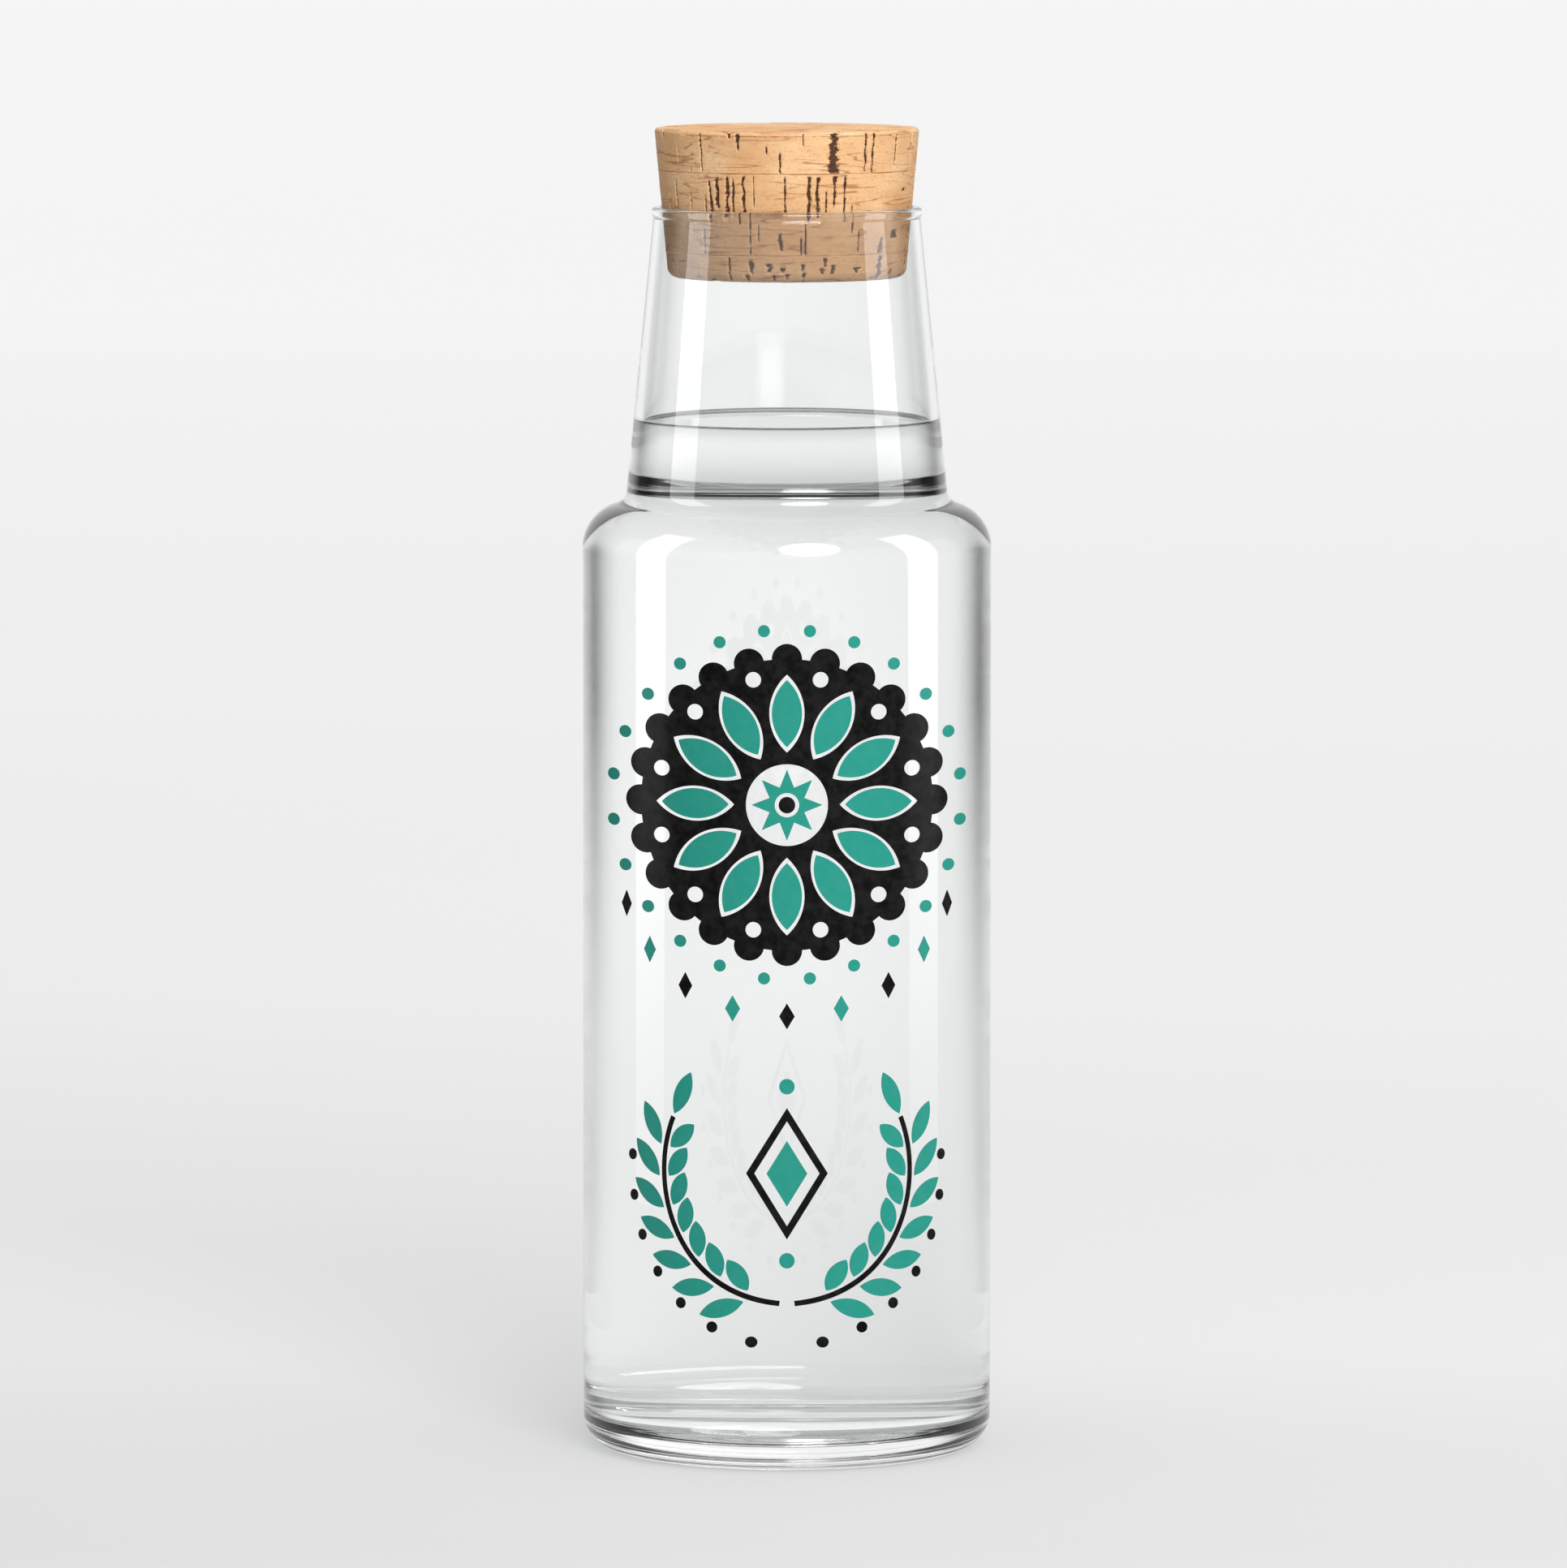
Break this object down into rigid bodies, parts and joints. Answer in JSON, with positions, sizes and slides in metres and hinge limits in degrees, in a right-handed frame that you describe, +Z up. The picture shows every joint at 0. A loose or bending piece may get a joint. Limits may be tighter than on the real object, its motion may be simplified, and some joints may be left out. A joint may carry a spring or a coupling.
{
  "type": "poison bottle",
  "caption": "Straight round glass bottle with a tapered neck, a laminated cork stopper that lifts out, clear liquid inside and two-colour printed ornament on the front.",
  "frame": {"origin": "centre of the base, on the plane the bottle stands on", "axes": "+Z up along the bottle's axis, -Y towards the printed front, +X to the viewer's right"},
  "size_m": [0.085, 0.0852, 0.2754],
  "materials": {
    "clear_glass": "polished, fire-smooth",
    "clear_water": "still liquid",
    "natural_cork": "sanded natural cork with dark lenticels",
    "cork_glue": "thin dark adhesive line",
    "black_ink": "fired screen-printing ink, satin",
    "teal_ink": "fired screen-printing ink, satin"
  },
  "bodies": {
    "bottle": {"glass_bottle": "clear_glass", "water": "clear_water", "ink_medallion_black": "black_ink", "ink_medallion_teal": "teal_ink", "ink_sprig_right_black": "black_ink", "ink_sprig_right_teal": "teal_ink", "ink_sprig_left_black": "black_ink", "ink_sprig_left_teal": "teal_ink", "ink_centre_black": "black_ink", "ink_centre_teal": "teal_ink"},
    "stopper": {"cork_top_disc": "natural_cork", "glue_film_upper": "cork_glue", "cork_middle_disc": "natural_cork", "glue_film_lower": "cork_glue", "cork_lower_disc": "natural_cork"}
  },
  "joints": [
    {"name": "stopper_lift", "type": "slide", "parent": "bottle", "child": "stopper", "axis": [0, 0, 1], "range_m": [0, 0.05]}
  ]
}
